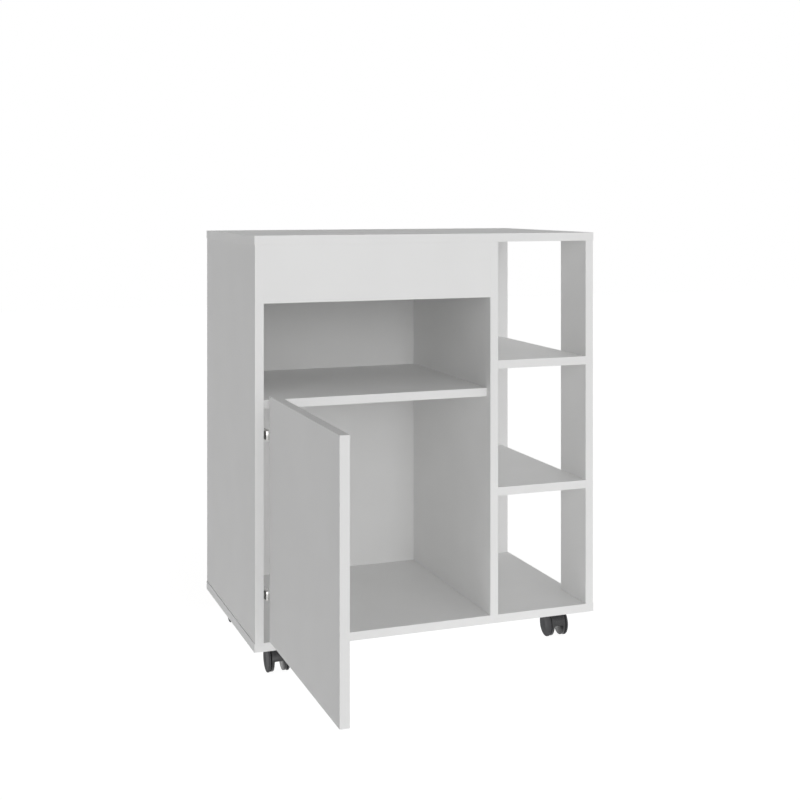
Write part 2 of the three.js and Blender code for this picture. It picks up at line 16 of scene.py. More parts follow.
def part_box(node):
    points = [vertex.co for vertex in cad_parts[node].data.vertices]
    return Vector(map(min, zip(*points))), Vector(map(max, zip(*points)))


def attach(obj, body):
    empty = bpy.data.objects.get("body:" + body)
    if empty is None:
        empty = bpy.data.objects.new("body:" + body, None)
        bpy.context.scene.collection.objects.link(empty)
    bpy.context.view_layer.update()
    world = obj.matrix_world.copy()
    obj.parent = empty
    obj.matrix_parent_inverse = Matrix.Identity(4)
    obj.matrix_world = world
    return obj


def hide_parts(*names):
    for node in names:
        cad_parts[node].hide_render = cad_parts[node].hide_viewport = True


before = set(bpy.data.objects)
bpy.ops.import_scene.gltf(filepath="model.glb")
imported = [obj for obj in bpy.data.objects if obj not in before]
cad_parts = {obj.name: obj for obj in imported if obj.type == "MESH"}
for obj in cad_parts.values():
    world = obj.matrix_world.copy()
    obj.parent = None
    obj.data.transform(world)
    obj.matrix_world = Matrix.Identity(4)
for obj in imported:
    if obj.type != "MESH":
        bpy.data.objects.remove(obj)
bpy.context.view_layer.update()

bl_info = {
    "name": "Microwave Cart",
    "version": (1, 0, 0),
    "blender": (4, 5, 0),
    "location": "View3D > Sidebar > Cart",
    "description": "Builds a white microwave cart on twin-wheel casters",
    "category": "Object",
}

MM = 0.001
X_AXIS = Vector((1, 0, 0))
Z_AXIS = Vector((0, 0, 1))
ENDS = ("front", "rear")
HANDS = ("left", "right")
CORNERS = [f"{end}_{hand}" for end in ENDS for hand in HANDS]
UPRIGHTS = ("left", "divider")
HINGES = ("upper", "lower")

SQUARELY = 0.9  # least part of a face's normal along the axis that it faces
MERGE_WITHIN = 0.001 * MM  # corners of a CAD mesh nearer than this are one
FLAT_WITHIN = math.radians(1)  # faces nearer to one plane than this are one
SHARP_OVER = 28  # degrees between two faces that meet in an edge, not in a curve
ROUNDING = {"segments": 2, "profile": 0.5, "affect": "EDGES"}
NOISE_SPAN = {"From_Min": 0.3, "From_Max": 0.7}  # where most of a noise's values lie


# ------------------------------------------------------------------ settings
class CartBoardSettings(bpy.types.PropertyGroup):
    """Sizes and colours of the coated boards and the back panel."""

    face_colour: FloatVectorProperty(
        name="Face colour", description="White of the coated faces",
        subtype="COLOR", size=3, min=0, max=1, default=(0.900, 0.900, 0.896),
    )
    band_colour: FloatVectorProperty(
        name="Edge band colour", description="White of the bands glued on the edges",
        subtype="COLOR", size=3, min=0, max=1, default=(0.900, 0.900, 0.896),
    )
    raw_colour: FloatVectorProperty(
        name="Bare hardboard colour", description="Brown of the back panel's bare rear face",
        subtype="COLOR", size=3, min=0, max=1, default=(0.30, 0.19, 0.11),
    )
    roughness: FloatProperty(
        name="Face roughness", description="Roughness of the coated faces",
        subtype="FACTOR", min=0, max=1, default=0.55,
    )
    ease: FloatProperty(
        name="Edge easing", description="Width of the eased arris of each board",
        unit="LENGTH", min=0, default=0.25 * MM,
    )
    nail_spacing: FloatProperty(
        name="Nail spacing", description="Distance between nails in the back panel",
        unit="LENGTH", min=0.01, default=85 * MM,
    )
    nail_radius: FloatProperty(
        name="Nail head radius", description="Radius of a back panel nail's head",
        unit="LENGTH", min=0, default=2.2 * MM,
    )


class CartMetalSettings(bpy.types.PropertyGroup):
    """Colours and sizes of the hinges and screws."""

    nickel_colour: FloatVectorProperty(
        name="Nickel colour", description="Plating of the hinges",
        subtype="COLOR", size=3, min=0, max=1, default=(0.74, 0.735, 0.72),
    )
    zinc_colour: FloatVectorProperty(
        name="Zinc colour", description="Plating of the screws and axles",
        subtype="COLOR", size=3, min=0, max=1, default=(0.62, 0.63, 0.65),
    )
    soften: FloatProperty(
        name="Sheet edge", description="Rounding of the pressed sheet's edges",
        unit="LENGTH", min=0, default=0.18 * MM,
    )
    recess_width: FloatProperty(
        name="Recess width", description="Width of a screw's cross recess, as a share of its head",
        subtype="FACTOR", min=0, max=1, default=0.17,
    )


class CartCasterSettings(bpy.types.PropertyGroup):
    """Colours and sizes of the casters."""

    body_colour: FloatVectorProperty(
        name="Body colour", description="Black of the moulded bodies between the wheels",
        subtype="COLOR", size=3, min=0, max=1, default=(0.052, 0.052, 0.054),
    )
    wheel_colour: FloatVectorProperty(
        name="Wheel colour", description="Dark grey of the wheels",
        subtype="COLOR", size=3, min=0, max=1, default=(0.058, 0.058, 0.060),
    )
    gloss: FloatProperty(
        name="Plastic roughness", description="Roughness of the moulded black plastic",
        subtype="FACTOR", min=0, max=1, default=0.24,
    )
    edge: FloatProperty(
        name="Moulded edge", description="Rounding of the bodies' and wheels' moulded edges",
        unit="LENGTH", min=0, default=0.6 * MM,
    )


class CartStageSettings(bpy.types.PropertyGroup):
    """Camera, floor and lamps."""

    camera_place: FloatVectorProperty(
        name="Camera place", description="Where the camera stands",
        subtype="TRANSLATION", size=3, default=(-0.8395, -2.23775, 0.8068),
    )
    camera_heading: FloatProperty(
        name="Camera heading", description="Turn of the level camera to the right",
        subtype="ANGLE", default=math.radians(21.552),
    )
    focal_length: FloatProperty(
        name="Focal length", description="Lens, in millimetres on a 36 mm sensor",
        min=1, default=61.30,
    )
    shift: FloatVectorProperty(
        name="Lens shift", description="Shift that frames the cart as in the photograph",
        size=2, default=(-0.06996, -0.25044),
    )
    ambient: FloatProperty(
        name="Ambient light", description="Strength of the even light from all round",
        min=0, default=0.10,
    )
    floor_light: FloatProperty(
        name="Floor light", description="Light that the bright studio floor sends up",
        min=0, default=0.40,
    )
    front_light: FloatProperty(
        name="Front lamp", description="Strength of the lamp in front", min=0, default=0.37,
    )
    left_light: FloatProperty(
        name="Left lamp", description="Strength of the soft lamp at the front left",
        min=0, default=0.66,
    )
    high_light: FloatProperty(
        name="High lamp", description="Strength of the soft lamp high in front",
        min=0, default=0.23,
    )
    right_light: FloatProperty(
        name="Right lamp", description="Strength of the very wide lamp at the front right",
        min=0, default=1.08,
    )


# ------------------------------------------------------------------ materials
class Nodes:
    """A node tree being written, whose sockets take values or other nodes' outputs."""

    def __init__(self, tree):
        self.tree = tree

    def link(self, source, target):
        self.tree.links.new(source, target)

    def add(self, kind, *given, settings=None, **named):
        """Adds a node, with its sockets given in order, or by name with _ for a space."""
        made = self.tree.nodes.new(kind)
        for name, value in (settings or {}).items():
            setattr(made, name, value)
        sockets = list(made.inputs[:len(given)])
        sockets += [made.inputs[name.replace("_", " ")] for name in named]
        for socket, value in zip(sockets, (*given, *named.values())):
            if isinstance(value, bpy.types.NodeSocket):
                self.link(value, socket)
            else:
                socket.default_value = value
        return made


class Finish(Nodes):
    """A material being written: its Principled shader and short calls for its variation."""

    def __init__(self, name, colour, roughness, **others):
        self.material = bpy.data.materials.new(name)
        self.material.use_nodes = True
        super().__init__(self.material.node_tree)
        self.shader = self.tree.nodes["Principled BSDF"].inputs
        self.colour = colour
        values = {"Base_Color": (*colour, 1), "Roughness": roughness, **others}
        for label, value in values.items():
            self.shader[label.replace("_", " ")].default_value = value
        self.place = self.add("ShaderNodeTexCoord").outputs["Object"]
        self.normal = None

    def noise(self, size, detail=2.0, stretch=(1, 1, 1)):
        """Noise whose features are about this many metres across, drawn out along an axis."""
        scale = [1 / (size * share) for share in stretch]
        mapping = self.add("ShaderNodeMapping", Vector=self.place, Scale=scale)
        texture = self.add(
            "ShaderNodeTexNoise", Vector=mapping.outputs["Vector"], Scale=1.0, Detail=detail,
        )
        return texture.outputs["Fac"]

    def span(self, noise, low, high):
        """A noise spread over a range of values."""
        made = self.add(
            "ShaderNodeMapRange", Value=noise, To_Min=low, To_Max=high, **NOISE_SPAN,
        )
        return made.outputs["Result"]

    def cloud(self, noise, darkest, lightest):
        """Lets the colour wander between two shares of itself."""
        made = self.add("ShaderNodeMix", settings={"data_type": "RGBA"})
        factor, first, second = (made.inputs[i] for i in (0, 6, 7))  # those of its colour mode
        self.link(self.span(noise, 0, 1), factor)
        first.default_value = (*tinted(self.colour, darkest), 1)
        second.default_value = (*tinted(self.colour, lightest), 1)
        self.link(made.outputs[2], self.shader["Base Color"])

    def wear(self, noise, low, high):
        """Lets the roughness wander between two values."""
        self.link(self.span(noise, low, high), self.shader["Roughness"])

    def bump(self, height, distance, strength):
        """Adds a relief this many metres deep on top of the ones before."""
        made = self.add("ShaderNodeBump", Strength=strength, Distance=distance, Height=height)
        if self.normal:
            self.link(self.normal, made.inputs["Normal"])
        self.normal = made.outputs["Normal"]
        self.link(self.normal, self.shader["Normal"])


def tinted(colour, share):
    return tuple(min(1, channel * share) for channel in colour)


def board_finish(name, colour, roughness, grain):
    """Smooth coated board: an even white, a faint cloudiness and a fine pressed texture."""
    made = Finish(name, colour, roughness, Specular_IOR_Level=0.3)
    made.cloud(made.noise(110 * MM, detail=1.0), darkest=0.988, lightest=1.008)
    made.wear(made.noise(20 * MM), roughness - 0.04, roughness + 0.04)
    made.bump(made.noise(grain, detail=1.0), distance=0.012 * MM, strength=0.6)
    made.bump(made.noise(7 * MM, detail=0.0), distance=0.03 * MM, strength=0.25)
    return made.material


def bare_hardboard(colour):
    """Pressed brown fibre with short lighter and darker strands."""
    made = Finish("bare_hardboard", colour, 0.75)
    fibres = made.noise(1.6 * MM, detail=4.0, stretch=(3.5, 1, 1))
    made.cloud(fibres, darkest=0.72, lightest=1.25)
    made.wear(made.noise(12 * MM), 0.66, 0.84)
    made.bump(fibres, distance=0.08 * MM, strength=0.5)
    return made.material


def nickel_plate(colour):
    """Bright plated sheet, finely streaked by the press."""
    made = Finish("nickel_plate", colour, 0.24, Metallic=1.0)
    streaks = made.noise(0.25 * MM, stretch=(1, 14, 1))
    made.wear(streaks, 0.18, 0.32)
    made.cloud(made.noise(6 * MM), darkest=0.94, lightest=1.04)
    made.bump(streaks, distance=0.006 * MM, strength=0.5)
    return made.material


def zinc_plate(colour):
    """Dull plated steel with a faint mottling."""
    made = Finish("zinc_plate", colour, 0.38, Metallic=1.0)
    made.cloud(made.noise(1.2 * MM, detail=3.0), darkest=0.86, lightest=1.08)
    made.wear(made.noise(0.8 * MM, detail=3.0), 0.3, 0.5)
    made.bump(made.noise(0.4 * MM), distance=0.01 * MM, strength=0.6)
    return made.material


def black_paint(colour):
    """Painted pressed steel with a slight orange peel."""
    made = Finish("black_paint", colour, 0.42)
    made.wear(made.noise(4 * MM), 0.36, 0.5)
    made.bump(made.noise(1.1 * MM, detail=1.0), distance=0.03 * MM, strength=0.5)
    return made.material


def moulded_plastic(name, colour, roughness, lightest=1.12):
    """Moulded plastic with a very fine grain and a slightly uneven tone."""
    made = Finish(name, colour, roughness, Specular_IOR_Level=0.25)
    made.cloud(made.noise(5 * MM, detail=3.0), darkest=0.92, lightest=lightest)
    made.wear(made.noise(1.5 * MM), roughness - 0.04, roughness + 0.06)
    made.bump(made.noise(0.25 * MM), distance=0.006 * MM, strength=0.5)
    return made.material


def materials():
    """All the cart's materials, made once and kept by name."""
    scene = bpy.context.scene
    boards, metal, caster = scene.cart_boards, scene.cart_metal, scene.cart_casters
    makers = {
        "coated_face": lambda name: board_finish(
            name, boards.face_colour, boards.roughness, 0.55 * MM),
        "edge_band": lambda name: board_finish(
            name, boards.band_colour, boards.roughness - 0.08, 1.1 * MM),
        "painted_hardboard": lambda name: board_finish(
            name, tinted(boards.face_colour, 0.985), 0.6, 1.4 * MM),
        "cover_cap": lambda name: moulded_plastic(name, boards.face_colour, 0.4, 1.03),
        "bare_hardboard": lambda name: bare_hardboard(boards.raw_colour),
        "nickel_plate": lambda name: nickel_plate(metal.nickel_colour),
        "zinc_plate": lambda name: zinc_plate(metal.zinc_colour),
        "black_paint": lambda name: black_paint(tinted(caster.body_colour, 0.6)),
        "body_plastic": lambda name: moulded_plastic(name, caster.body_colour, caster.gloss),
        "wheel_plastic": lambda name: moulded_plastic(name, caster.wheel_colour, caster.gloss),
    }
    return {
        name: bpy.data.materials.get(name) or make(name) for name, make in makers.items()
    }


# ------------------------------------------------------------------ making pieces
def linked(name, data):
    """A new object in the scene, at the origin."""
    made = bpy.data.objects.new(name, data)
    bpy.context.scene.collection.objects.link(made)
    return made


def carried(made, body, stands_for):
    """Puts a finished object on its body, in place of the CAD nodes that it stands for."""
    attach(made, body)
    if stands_for:
        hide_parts(*stands_for)


def piece(name, mesh, finishes, body, stands_for=()):
    """Makes a finished mesh a piece of the cart, with one material or several by face."""
    chosen = [face.material_index for face in mesh.polygons]
    mesh.materials.clear()
    for finish in finishes:
        mesh.materials.append(materials()[finish])
    mesh.polygons.foreach_set("material_index", chosen)
    carried(linked(name, mesh), body, stands_for)


def dress(node, finish):
    """Gives a CAD node that stays in view its material."""
    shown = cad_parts[node]
    shown.data.materials.clear()
    shown.data.materials.append(materials()[finish])


def middle(node):
    """The middle of a CAD node's box."""
    low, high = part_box(node)
    return (low + high) / 2


def smooth(mesh, sharp_over):
    """Smooth shading, but not across edges sharper than an angle in degrees."""
    mesh.shade_smooth()
    mesh.set_sharp_from_angle(angle=math.radians(sharp_over))


def mesh_from(work, name, sharp_over=None):
    """Writes a bmesh to a mesh, with flat faces unless an angle for sharp edges is given."""
    mesh = bpy.data.meshes.new(name)
    work.to_mesh(mesh)
    work.free()
    if sharp_over:
        smooth(mesh, sharp_over)
    return mesh


def evaluated_mesh(made):
    """A plain mesh of what an object's modifiers give."""
    evaluated = made.evaluated_get(bpy.context.evaluated_depsgraph_get())
    return bpy.data.meshes.new_from_object(evaluated)


def eased_board(node, ease):
    """A CAD board with eased edges: material 0 on its two faces, 1 on its edges."""
    low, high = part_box(node)
    size, centre = high - low, middle(node)
    thin = min(range(3), key=lambda axis: size[axis])
    work = bmesh.new()
    bmesh.ops.create_cube(work, size=1)
    for vert in work.verts:
        vert.co = Vector([vert.co[i] * size[i] + centre[i] for i in range(3)])
    work.normal_update()
    for face in work.faces:
        face.material_index = 0 if abs(face.normal[thin]) > SQUARELY else 1
    bmesh.ops.bevel(work, geom=work.edges[:], offset=ease, material=1, **ROUNDING)
    return work


def turned(work, profile, centre, axis, steps):
    """Adds a closed body of revolution: profile points are (radius, place along the axis)."""
    along = axis.normalized()
    side = along.orthogonal().normalized()
    up = along.cross(side)
    rings = []
    for radius, place in profile:
        ring = []
        for i in range(steps if radius else 1):
            angle = 2 * math.pi * i / steps
            outward = side * math.cos(angle) + up * math.sin(angle)
            ring.append(work.verts.new(centre + along * place + radius * outward))
        rings.append(ring)
    for first, second in zip(rings, rings[1:]):
        for i in range(steps):
            j = (i + 1) % steps
            corners = [
                first[i % len(first)], first[j % len(first)],
                second[j % len(second)], second[i % len(second)],
            ]
            work.faces.new(list(dict.fromkeys(corners)))
    return work


def fillet(corner, radius, start, end, steps=4):
    """Points round a corner centre, from one angle to another in degrees."""
    points = []
    for i in range(steps + 1):
        angle = math.radians(start + (end - start) * i / steps)
        points.append((corner[0] + radius * math.cos(angle), corner[1] + radius * math.sin(angle)))
    return points


def softened(source, name, width):
    """A copy of a mesh with its sharp edges rounded and its curves smooth."""
    work = bmesh.new()
    work.from_mesh(source)
    bmesh.ops.remove_doubles(work, verts=work.verts[:], dist=MERGE_WITHIN)
    bmesh.ops.dissolve_limit(
        work, angle_limit=FLAT_WITHIN, verts=work.verts[:], edges=work.edges[:],
    )
    sharp = [
        edge for edge in work.edges
        if len(edge.link_faces) == 2 and edge.calc_face_angle() > math.radians(SHARP_OVER)
    ]
    bmesh.ops.bevel(work, geom=sharp, offset=width, clamp_overlap=True, **ROUNDING)
    bmesh.ops.triangulate(work, faces=[face for face in work.faces if len(face.verts) > 4])
    return mesh_from(work, name, SHARP_OVER)


def softened_copy(node, name, finish, body, width):
    """A CAD node's shape with rounded edges and smooth curves, shown in its place."""
    mesh = softened(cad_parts[node].data, name, width)
    piece(name, mesh, [finish], body, [node])


def combined(work, name, *steps):
    """Boolean work on a closed solid; each step is an operation and the other solid."""
    def holder(solid):
        bmesh.ops.recalc_face_normals(solid, faces=solid.faces[:])
        return linked(name, mesh_from(solid, name))

    base = holder(work)
    others = []
    for operation, solid in steps:
        modifier = base.modifiers.new(operation.lower(), "BOOLEAN")
        modifier.operation = operation
        modifier.object = holder(solid)
        others.append(modifier.object)
    mesh = evaluated_mesh(base)
    for made in (base, *others):
        bpy.data.objects.remove(made)
    return mesh


def prism(outline, start, end, place):
    """A closed outline drawn across one axis and given length along another."""
    work = bmesh.new()
    rings = [[work.verts.new(place(a, b, along)) for a, b in outline] for along in (start, end)]
    work.faces.new(rings[0])
    work.faces.new(rings[1][::-1])
    for i, vert in enumerate(rings[0]):
        j = (i + 1) % len(outline)
        work.faces.new((rings[0][j], vert, rings[1][i], rings[1][j]))
    return work


# ------------------------------------------------------------------ Geometry Nodes
class Tree(Nodes):
    """A Geometry Nodes tree with named inputs, made in a few lines."""

    def __init__(self, name, *sizes):
        super().__init__(bpy.data.node_groups.new(name, "GeometryNodeTree"))
        inputs = {"Geometry": "Geometry", **dict.fromkeys(sizes, "Float"), "Material": "Material"}
        for label, kind in inputs.items():
            self.tree.interface.new_socket(
                label, in_out="INPUT", socket_type=f"NodeSocket{kind}",
            )
        self.tree.interface.new_socket(
            "Geometry", in_out="OUTPUT", socket_type="NodeSocketGeometry",
        )
        self.given = self.add("NodeGroupInput").outputs

    def times(self, value, share):
        """A share of a value."""
        made = self.add("ShaderNodeMath", value, share, settings={"operation": "MULTIPLY"})
        return made.outputs[0]

    def raised(self, primitive, height):
        """A primitive's mesh moved up."""
        lift = self.add("ShaderNodeCombineXYZ", Z=height)
        moved = self.add(
            "GeometryNodeTransform",
            Geometry=primitive.outputs["Mesh"], Translation=lift.outputs[0],
        )
        return moved.outputs["Geometry"]

    def united(self, *solids):
        """Closed meshes made one closed mesh."""
        together = self.add("GeometryNodeJoinGeometry")
        for solid in solids:
            self.link(solid, together.inputs[0])
        made = self.add("GeometryNodeMeshBoolean", settings={"operation": "UNION"})
        self.link(together.outputs[0], made.inputs[1])
        return made.outputs[0]

    def finish(self, geometry):
        """Ends the tree in Realize Instances and Set Material."""
        real = self.add("GeometryNodeRealizeInstances", Geometry=geometry)
        painted = self.add(
            "GeometryNodeSetMaterial",
            Geometry=real.outputs["Geometry"], Material=self.given["Material"],
        )
        self.add("NodeGroupOutput", painted.outputs["Geometry"])
        return self.tree


def grown(name, start, tree, values, body, stands_for=(), sharp_over=SHARP_OVER):
    """Runs a Geometry Nodes tree on a start mesh and keeps the result as a plain mesh."""
    made = linked(name, start)
    modifier = made.modifiers.new("grow", "NODES")
    modifier.node_group = tree
    for item in tree.interface.items_tree:
        if item.in_out == "INPUT" and item.name in values:
            modifier[item.identifier] = values[item.name]
    mesh = evaluated_mesh(made)
    made.modifiers.remove(modifier)
    made.data = mesh
    smooth(mesh, sharp_over)
    carried(made, body, stands_for)


def screw_tree():
    """A chamfered round head with a cross recess and a shank, on every point."""
    rim_share, crown_share, crown_taper = 0.45, 0.55, 0.74
    recess_reach, recess_depth = 1.15, 1.3
    head_sides, shank_sides = 48, 24

    tree = Tree(
        "screws", "Head Radius", "Head Height", "Shank Radius", "Shank Length", "Recess Width",
    )
    given = tree.given
    radius, height, length = given["Head Radius"], given["Head Height"], given["Shank Length"]
    rim_height = tree.times(height, rim_share)
    rim = tree.add(
        "GeometryNodeMeshCylinder", Vertices=head_sides, Radius=radius, Depth=rim_height,
    )
    crown = tree.add(
        "GeometryNodeMeshCone", Vertices=head_sides, Radius_Bottom=radius,
        Radius_Top=tree.times(radius, crown_taper), Depth=tree.times(height, crown_share),
    )
    shank = tree.add(
        "GeometryNodeMeshCylinder", Vertices=shank_sides, Radius=given["Shank Radius"],
        Depth=length,
    )
    whole = tree.united(
        tree.raised(shank, tree.times(length, -0.5)),
        tree.raised(crown, rim_height),
        tree.raised(rim, tree.times(rim_height, 0.5)),
    )

    reach = tree.times(radius, recess_reach)
    width = tree.times(radius, given["Recess Width"])
    depth = tree.times(height, recess_depth)
    arms = []
    for wide, deep in ((reach, width), (width, reach)):
        size = tree.add("ShaderNodeCombineXYZ", X=wide, Y=deep, Z=depth)
        arm = tree.add("GeometryNodeMeshCube", Size=size.outputs[0])
        arms.append(tree.raised(arm, height))
    screw = tree.add(
        "GeometryNodeMeshBoolean", whole, tree.united(*arms),
        settings={"operation": "DIFFERENCE"},
    )

    facing = tree.add(
        "GeometryNodeInputNamedAttribute", Name="facing", settings={"data_type": "FLOAT_VECTOR"},
    )
    turn = tree.add(
        "FunctionNodeAlignRotationToVector", Vector=facing.outputs[0], settings={"axis": "Z"},
    )
    placed = tree.add(
        "GeometryNodeInstanceOnPoints", Points=given["Geometry"],
        Instance=screw.outputs[0], Rotation=turn.outputs[0],
    )
    return tree.finish(placed.outputs["Instances"])


def nail_tree():
    """Flat domed nail heads at even steps along every edge of a wire mesh."""
    doming = 0.22
    tree = Tree("nails", "Spacing", "Radius")
    wire = tree.add("GeometryNodeMeshToCurve", Mesh=tree.given["Geometry"])
    steps = tree.add(
        "GeometryNodeResampleCurve", settings={"mode": "LENGTH"},
        Curve=wire.outputs[0], Length=tree.given["Spacing"],
    )
    ball = tree.add(
        "GeometryNodeMeshUVSphere", Segments=24, Rings=12, Radius=tree.given["Radius"],
    )
    head = tree.add(
        "GeometryNodeTransform", Geometry=ball.outputs["Mesh"], Scale=(1, doming, 1),
    )
    placed = tree.add(
        "GeometryNodeInstanceOnPoints", Points=steps.outputs[0],
        Instance=head.outputs["Geometry"],
    )
    return tree.finish(placed.outputs["Instances"])


def screws(name, nodes, places, facing, sizes, body):
    """Cross-recess screws that stand for CAD nodes, with their heads' undersides at the places.

    The sizes are the head's radius and height and the shank's radius and length.
    """
    start = bpy.data.meshes.new(name)
    start.from_pydata([tuple(place) for place in places], [], [])
    for item in start.attributes.new("facing", "FLOAT_VECTOR", "POINT").data:
        item.vector = facing
    labels = ("Head Radius", "Head Height", "Shank Radius", "Shank Length")
    values = dict(zip(labels, sizes))
    values["Recess Width"] = bpy.context.scene.cart_metal.recess_width
    values["Material"] = materials()["zinc_plate"]
    grown(name, start, screw_tree(), values, body, nodes, sharp_over=30)


# ------------------------------------------------------------------ operators
class CART_OT_boards(bpy.types.Operator):
    """Build the coated boards of the carcass with eased, banded edges."""

    bl_idname = "cart.boards"
    bl_label = "Boards"

    BOARDS = (
        "top_panel", "bottom_panel", "left_side_panel", "divider_panel", "right_front_post",
        "rear_column_board", "front_apron", "middle_shelf", "upper_side_shelf",
        "lower_side_shelf",
    )

    def execute(self, context):
        for node in self.BOARDS:
            name = f"{node}_board"
            mesh = mesh_from(eased_board(node, context.scene.cart_boards.ease), name)
            piece(name, mesh, ["coated_face", "edge_band"], "carcass", [node])
        return {"FINISHED"}


class CART_OT_back(bpy.types.Operator):
    """Build the hardboard back panel, white inside and bare outside, with its nails."""

    bl_idname = "cart.back"
    bl_label = "Back panel"

    def execute(self, context):
        settings = context.scene.cart_boards
        work = eased_board("back_panel", settings.ease)
        for face in work.faces:
            inside = face.normal.y < -SQUARELY
            face.material_index = 0 if inside else 1
        mesh = mesh_from(work, "back_panel_sheet")
        piece("back_panel_sheet", mesh, ["painted_hardboard", "bare_hardboard"], "carcass",
              ["back_panel"])
        self.nails(settings)
        return {"FINISHED"}

    def nails(self, settings):
        """Nails into the middle of every board edge behind the sheet."""
        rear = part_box("back_panel")[1].y
        columns = [middle(node).x for node in ("left_side_panel", "divider_panel")]
        levels = [middle(node).z for node in ("bottom_panel", "middle_shelf", "top_panel")]
        corners = [(x, rear, z) for z in levels for x in columns]
        across, upwards = [(0, 1), (2, 3), (4, 5)], [(0, 2), (2, 4), (1, 3), (3, 5)]
        wire = bpy.data.meshes.new("back_panel_nails")
        wire.from_pydata(corners, across + upwards, [])
        values = {
            "Spacing": settings.nail_spacing,
            "Radius": settings.nail_radius,
            "Material": materials()["zinc_plate"],
        }
        grown("back_panel_nails", wire, nail_tree(), values, "carcass",
              sharp_over=40)


class CART_OT_door(bpy.types.Operator):
    """Build the door with eased, banded edges and the bores for its hinge cups."""

    bl_idname = "cart.door"
    bl_label = "Door"

    BORE_PLAY = 0.3 * MM
    BORE_STEPS = 72
    PAST_FACE = 1 * MM  # how far the cutter stands out of the door

    def execute(self, context):
        board = eased_board("door_panel", context.scene.cart_boards.ease)
        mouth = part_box("door_panel")[1].x + self.PAST_FACE
        bores = bmesh.new()
        for hinge in HINGES:
            self.bore(bores, hinge, mouth)
        mesh = combined(board, "door_panel_board", ("DIFFERENCE", bores))
        piece("door_panel_board", mesh, ["coated_face", "edge_band"], "door",
              ["door_panel"])
        return {"FINISHED"}

    def bore(self, work, hinge, mouth):
        """A round cutter a little larger than the hinge's cup."""
        centre = CART_OT_hinges.cup_centre(hinge)
        radius = CART_OT_hinges.CUP_RADIUS + self.BORE_PLAY
        floor = centre.x - self.BORE_PLAY
        profile = [(0, floor), (radius, floor), (radius, mouth), (0, mouth)]
        centre.x = 0
        turned(work, profile, centre, X_AXIS, self.BORE_STEPS)


class CART_OT_hinges(bpy.types.Operator):
    """Build the concealed hinges: plates, arms, links and cups, with their screws."""

    bl_idname = "cart.hinges"
    bl_label = "Hinges"

    CUP_RADIUS = 17.5 * MM
    FLANGE_REACH = 2 * MM  # how far the cup's flange stands out past the cup
    BODIES = {"plate": "carcass", "arm": "carcass", "link": "hinge_links", "cup": "door"}
    # radius and height of the head, then radius and length of the shank
    SCREWS = {
        "plate": (3.9 * MM, 2.0 * MM, 1.9 * MM, 14 * MM),
        "cup": (3.5 * MM, 1.9 * MM, 1.7 * MM, 12 * MM),
    }

    @classmethod
    def cup_centre(cls, hinge):
        """The middle of a hinge cup's floor, in the open door."""
        node = f"{hinge}_hinge_cup"
        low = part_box(node)[0]
        return Vector((low.x, low.y + cls.FLANGE_REACH + cls.CUP_RADIUS, middle(node).z))

    def execute(self, context):
        width = context.scene.cart_metal.soften
        for hinge in HINGES:
            for part, body in self.BODIES.items():
                node = f"{hinge}_hinge_{part}"
                softened_copy(node, f"{node}_pressing", "nickel_plate", body,
                              width)
        for part, sizes in self.SCREWS.items():
            nodes = [
                f"{hinge}_hinge_{part}_screw_{end}"
                for hinge in HINGES for end in ("top", "bottom")
            ]
            places = [middle(node) for node in nodes]
            for node, place in zip(nodes, places):
                place.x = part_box(node)[1].x - sizes[1]
            screws(f"hinge_{part}_screws", nodes, places, X_AXIS, sizes, self.BODIES[part])
        return {"FINISHED"}


class CART_OT_fasteners(bpy.types.Operator):
    """Build the caps over the cam locks and the screw heads under the bottom panel."""

    bl_idname = "cart.fasteners"
    bl_label = "Carcass fasteners"

    CAP_RADIUS = 9 * MM
    CAP_HEIGHT = 0.9 * MM
    CAP_STEM = 0.4 * MM  # how deep the cap reaches into the board
    CAP_RIM = 0.2 * MM  # height of the straight rim
    CAP_SOFTNESS = 0.6  # radius of the rounded rim, as a share of the cap's height
    CAP_CROWN = (1.02, 1.03)  # rise half-way in and at the middle, as shares of the height
    CAP_STEPS = 64
    # radius and height of the head, then radius and length of the shank
    SCREW = (5 * MM, 1.2 * MM, 3.4 * MM, 8 * MM)
    SCREW_SINK = 0.6 * MM  # from the board's underside up to the head's own

    def execute(self, context):
        places = [f"{side}_{end}" for side in UPRIGHTS for end in ENDS]
        work = bmesh.new()
        for place in places:
            lock = f"cam_lock_{place}"
            for node in (lock, f"cam_bolt_{place}"):
                dress(node, "zinc_plate")
            centre = middle(lock)
            centre.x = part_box(lock)[1].x
            self.cap(work, centre)
        bmesh.ops.recalc_face_normals(work, faces=work.faces[:])
        mesh = mesh_from(work, "cam_cover_caps", sharp_over=35)
        piece("cam_cover_caps", mesh, ["cover_cap"], "carcass")

        nodes = [f"bottom_screw_{place}" for place in places]
        heads = [middle(node) for node in nodes]
        for head in heads:
            head.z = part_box("bottom_panel")[0].z + self.SCREW_SINK
        screws("bottom_panel_screws", nodes, heads, -Z_AXIS, self.SCREW, "carcass")
        return {"FINISHED"}

    def cap(self, work, centre):
        """A thin round cap with a soft rim, pressed over a cam lock."""
        radius, height = self.CAP_RADIUS, self.CAP_HEIGHT
        soft = height * self.CAP_SOFTNESS
        profile = [(0, -self.CAP_STEM), (radius, -self.CAP_STEM), (radius, self.CAP_RIM)]
        profile += fillet((radius - soft, height - soft), soft, 10, 90)
        half_way, top = (height * rise for rise in self.CAP_CROWN)
        profile += [(radius / 2, half_way), (0, top)]
        turned(work, profile, centre, X_AXIS, self.CAP_STEPS)


